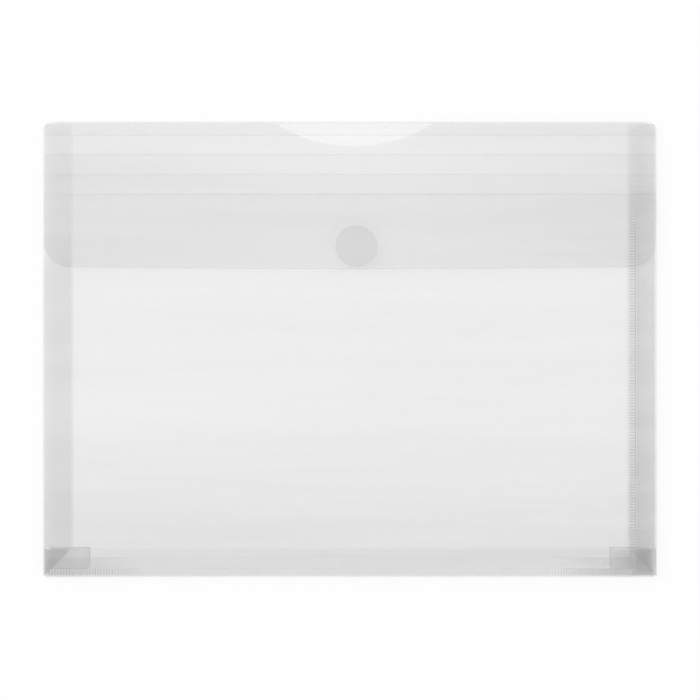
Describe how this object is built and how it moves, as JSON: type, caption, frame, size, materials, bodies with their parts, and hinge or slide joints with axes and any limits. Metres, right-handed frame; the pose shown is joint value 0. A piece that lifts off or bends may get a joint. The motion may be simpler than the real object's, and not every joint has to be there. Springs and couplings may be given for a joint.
{
  "type": "document wallet",
  "caption": "Flat see-through document wallet of frosted plastic film with folding gussets, a thumb notch and a scored flap that closes on a hook and loop dot.",
  "frame": {"origin": "under the middle of the closed wallet, on the surface that it lies on", "axes": "+X across the wallet to its right seen from the front, +Y from its bottom fold to its top fold, +Z out of its front"},
  "size_m": [0.33, 0.245, 0.0073],
  "materials": {
    "film": "frosted, see-through",
    "weld": "pressed teeth, see-through",
    "adhesive": "clear, tacky",
    "loop_tape": "soft pile",
    "hook_tape": "moulded hooks"
  },
  "bodies": {
    "back": {"back_panel": "film", "bottom_flange": "film", "bottom_weld_seam": "weld", "left_corner_tab": "film", "right_corner_tab": "film"},
    "left_rear": {"left_gusset_rear_leaf": "film", "left_corner_pleat_rear": "film"},
    "left_front": {"left_gusset_front_leaf": "film", "left_corner_pleat_front": "film"},
    "front": {"front_panel": "film", "loop_adhesive": "adhesive", "loop_disc": "loop_tape"},
    "right_rear": {"right_gusset_rear_leaf": "film", "right_corner_pleat_rear": "film", "side_weld_seam": "weld"},
    "right_front": {"right_gusset_front_leaf": "film", "right_corner_pleat_front": "film"},
    "bottom_rear": {"bottom_gusset_rear_leaf": "film"},
    "bottom_front": {"bottom_gusset_front_leaf": "film"},
    "top_fold": {"flap_top_fold": "film"},
    "strip_1": {"flap_strip_1": "film"},
    "strip_2": {"flap_strip_2": "film"},
    "strip_3": {"flap_strip_3": "film"},
    "strip_4": {"flap_strip_4": "film"},
    "tongue": {"flap_tongue": "film", "hook_adhesive": "adhesive", "hook_disc": "hook_tape"}
  },
  "joints": [
    {"name": "left_rear_fold", "type": "hinge", "parent": "back", "child": "left_rear", "pos_m": [-0.16455, 0, 0.00045], "axis": [0, -1, 0], "range_deg": [0, 75]},
    {"name": "gusset_spread", "type": "hinge", "parent": "left_rear", "child": "left_front", "pos_m": [-0.14952, 0, 0.00275], "axis": [0, 1, 0], "range_deg": [0, 150], "deforming": ["flap_strip_1", "flap_strip_2", "flap_strip_3"]},
    {"name": "left_front_fold", "type": "hinge", "parent": "left_front", "child": "front", "pos_m": [-0.16455, 0, 0.00505], "axis": [0, -1, 0], "range_deg": [0, 75]},
    {"name": "right_rear_fold", "type": "hinge", "parent": "back", "child": "right_rear", "pos_m": [0.16455, 0, 0.00045], "axis": [0, 1, 0], "range_deg": [0, 75]},
    {"name": "right_valley_fold", "type": "hinge", "parent": "right_rear", "child": "right_front", "pos_m": [0.14952, 0, 0.00275], "axis": [0, -1, 0], "range_deg": [0, 150]},
    {"name": "bottom_rear_fold", "type": "hinge", "parent": "back", "child": "bottom_rear", "pos_m": [0, -0.12205, 0.00045], "axis": [1, 0, 0], "range_deg": [0, 75]},
    {"name": "bottom_valley_fold", "type": "hinge", "parent": "bottom_rear", "child": "bottom_front", "pos_m": [0, -0.10702, 0.00275], "axis": [-1, 0, 0], "range_deg": [0, 150]},
    {"name": "flap_open", "type": "hinge", "parent": "back", "child": "top_fold", "pos_m": [0, 0.12205, 0.00045], "axis": [-1, 0, 0], "range_deg": [0, 75]},
    {"name": "flap_wrap", "type": "hinge", "parent": "top_fold", "child": "strip_1", "pos_m": [0, 0.12205, 0.00575], "axis": [-1, 0, 0], "range_deg": [0, 90]},
    {"name": "score_1_bend", "type": "hinge", "parent": "strip_1", "child": "strip_2", "pos_m": [0, 0.1152, 0.00598], "axis": [-1, 0, 0], "range_deg": [0, 11.25]},
    {"name": "score_2_bend", "type": "hinge", "parent": "strip_2", "child": "strip_3", "pos_m": [0, 0.1047, 0.00635], "axis": [-1, 0, 0], "range_deg": [0, 11.25]},
    {"name": "score_3_wrap", "type": "hinge", "parent": "strip_3", "child": "strip_4", "pos_m": [0, 0.0942, 0.00672], "axis": [-1, 0, 0], "range_deg": [-90, 0]},
    {"name": "tongue_lift", "type": "hinge", "parent": "strip_4", "child": "tongue", "pos_m": [0, 0.0837, 0.00708], "axis": [-1, 0, 0], "range_deg": [0, 90]}
  ],
  "couplings": [
    {"joint": "left_rear_fold", "follows": "gusset_spread", "ratio": 0.5},
    {"joint": "left_front_fold", "follows": "gusset_spread", "ratio": 0.5},
    {"joint": "right_rear_fold", "follows": "gusset_spread", "ratio": 0.5},
    {"joint": "right_valley_fold", "follows": "gusset_spread", "ratio": 1},
    {"joint": "bottom_rear_fold", "follows": "gusset_spread", "ratio": 0.5},
    {"joint": "bottom_valley_fold", "follows": "gusset_spread", "ratio": 1},
    {"joint": "flap_wrap", "follows": "gusset_spread", "ratio": 0.6},
    {"joint": "score_3_wrap", "follows": "gusset_spread", "ratio": -0.6},
    {"joint": "score_1_bend", "follows": "flap_open", "ratio": 0.15},
    {"joint": "score_2_bend", "follows": "flap_open", "ratio": 0.15}
  ]
}
